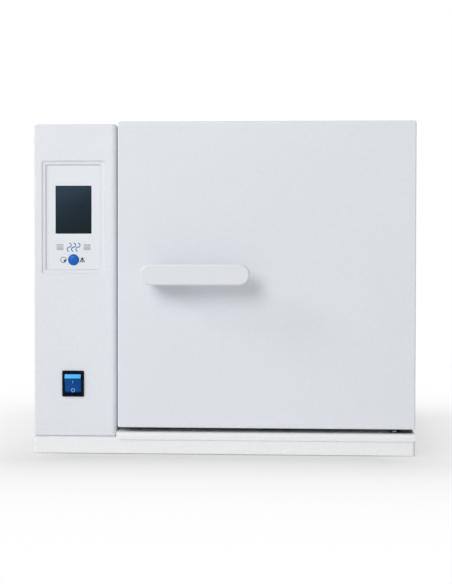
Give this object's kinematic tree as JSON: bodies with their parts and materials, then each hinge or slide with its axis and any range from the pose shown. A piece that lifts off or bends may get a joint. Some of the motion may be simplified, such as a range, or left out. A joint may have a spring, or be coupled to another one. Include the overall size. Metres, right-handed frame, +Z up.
{
  "type": "dry heat sterilizer",
  "caption": "Bench-top dry heat sterilizer with a side control tower, a lever-latched hinged door and a fan-stirred steel chamber with sliding perforated shelves.",
  "frame": {"origin": "on the bench under the middle of the whole, handle and rear fittings included", "axes": "+X to the right as seen from the front, -Y towards the user, +Z up"},
  "size_m": [0.46, 0.428, 0.4],
  "materials": {
    "casing_enamel": "white powder coat with a fine orange peel",
    "door_enamel": "white powder coat with a fine orange peel",
    "handle_enamel": "white powder coat over a cast lever",
    "chamber_stainless": "brushed stainless sheet",
    "shelf_stainless": "brushed stainless sheet, perforated",
    "zinc_sheet": "zinc-plated steel sheet",
    "steel_fastener": "bright zinc-plated screws and pins",
    "turned_steel": "turned steel",
    "heater_sheath": "heat-tinted tubular heater",
    "hinge_black": "black painted steel plate",
    "bush_bronze": "sintered bronze",
    "fascia_film": "satin white film on a plastic plate",
    "display_glass": "dark smoked glass",
    "button_blue": "moulded blue",
    "rocker_blue": "translucent dark blue",
    "switch_black": "black moulded",
    "board_green": "green solder mask",
    "module_black": "black bezel",
    "electric_grey": "moulded grey",
    "supply_case": "pressed aluminium case",
    "sink_aluminium": "extruded, brushed",
    "motor_enamel": "dark grey painted can",
    "foot_rubber": "moulded rubber",
    "gasket_silicone": "red-brown silicone",
    "mineral_wool": "mineral wool"
  },
  "bodies": {
    "housing": {"base_plinth": "casing_enamel", "base_plate": "zinc_sheet", "feet": "foot_rubber", "tower_shell": "casing_enamel", "tower_front": "casing_enamel", "cabinet_shell": "casing_enamel", "front_frame": "casing_enamel", "door_sill": "casing_enamel", "rear_panel": "casing_enamel", "rear_screws": "steel_fastener", "fascia_plate": "fascia_film", "display_window": "display_glass", "lcd_module": "module_black", "control_board": "board_green", "board_standoffs": "bush_bronze", "button_switch": "switch_black", "rocker_frame": "switch_black", "power_supply": "supply_case", "relay_heatsink": "sink_aluminium", "solid_state_relay": "electric_grey", "terminal_block": "electric_grey", "thermal_cutout": "electric_grey", "mains_inlet": "switch_black", "inlet_pins": "steel_fastener", "fuse_holders": "switch_black", "fan_motor": "motor_enamel", "motor_bracket": "zinc_sheet", "ring_heater": "heater_sheath", "temperature_probe": "turned_steel", "chamber_liner": "chamber_stainless", "fan_plenum": "chamber_stainless", "air_baffle": "shelf_stainless", "chamber_insulation": "mineral_wool", "vent_tube": "chamber_stainless", "vent_cap": "shelf_stainless", "shelf_rail_left": "chamber_stainless", "shelf_rail_right": "chamber_stainless", "hinge_pins": "steel_fastener", "lower_hinge_bracket": "hinge_black", "upper_hinge_bracket": "zinc_sheet", "hinge_screws": "steel_fastener", "latch_keeper": "zinc_sheet"},
    "door": {"door_skin": "door_enamel", "door_liner": "chamber_stainless", "door_insulation": "mineral_wool", "door_gasket": "gasket_silicone", "door_screws": "steel_fastener", "hinge_blocks": "zinc_sheet", "hinge_bushes": "bush_bronze", "spindle_bush": "casing_enamel"},
    "handle": {"handle_lever": "handle_enamel", "handle_spindle": "turned_steel", "latch_arm": "turned_steel"},
    "button": {"push_button": "button_blue"},
    "switch_rocker": {"rocker": "rocker_blue"},
    "fan": {"fan_shaft": "turned_steel", "fan_impeller": "chamber_stainless"},
    "lower_shelf": {"shelf_lower": "shelf_stainless"},
    "middle_shelf": {"shelf_middle": "shelf_stainless"},
    "upper_shelf": {"shelf_upper": "shelf_stainless"}
  },
  "joints": [
    {"name": "door_swing", "type": "hinge", "parent": "housing", "child": "door", "pos_m": [0.2185, -0.146, 0.215], "axis": [0, 0, 1], "range_deg": [0, 110]},
    {"name": "handle_turn", "type": "hinge", "parent": "door", "child": "handle", "pos_m": [-0.0824, -0.17, 0.217], "axis": [0, 1, 0], "range_deg": [0, 90]},
    {"name": "button_press", "type": "slide", "parent": "housing", "child": "button", "axis": [0, 1, 0], "range_m": [0, 0.0015], "stiffness_N_per_m": 400},
    {"name": "rocker_tilt", "type": "hinge", "parent": "housing", "child": "switch_rocker", "pos_m": [-0.1825, -0.154, 0.0838], "axis": [-1, 0, 0], "range_deg": [0, 26]},
    {"name": "fan_spin", "type": "hinge", "parent": "housing", "child": "fan", "pos_m": [-0.07, 0.0181, 0.2075], "axis": [1, 0, 0], "continuous": true},
    {"name": "lower_shelf_slide", "type": "slide", "parent": "housing", "child": "lower_shelf", "axis": [0, -1, 0], "range_m": [0, 0.02]},
    {"name": "middle_shelf_slide", "type": "slide", "parent": "housing", "child": "middle_shelf", "axis": [0, -1, 0], "range_m": [0, 0.02]},
    {"name": "upper_shelf_slide", "type": "slide", "parent": "housing", "child": "upper_shelf", "axis": [0, -1, 0], "range_m": [0, 0.02]}
  ]
}
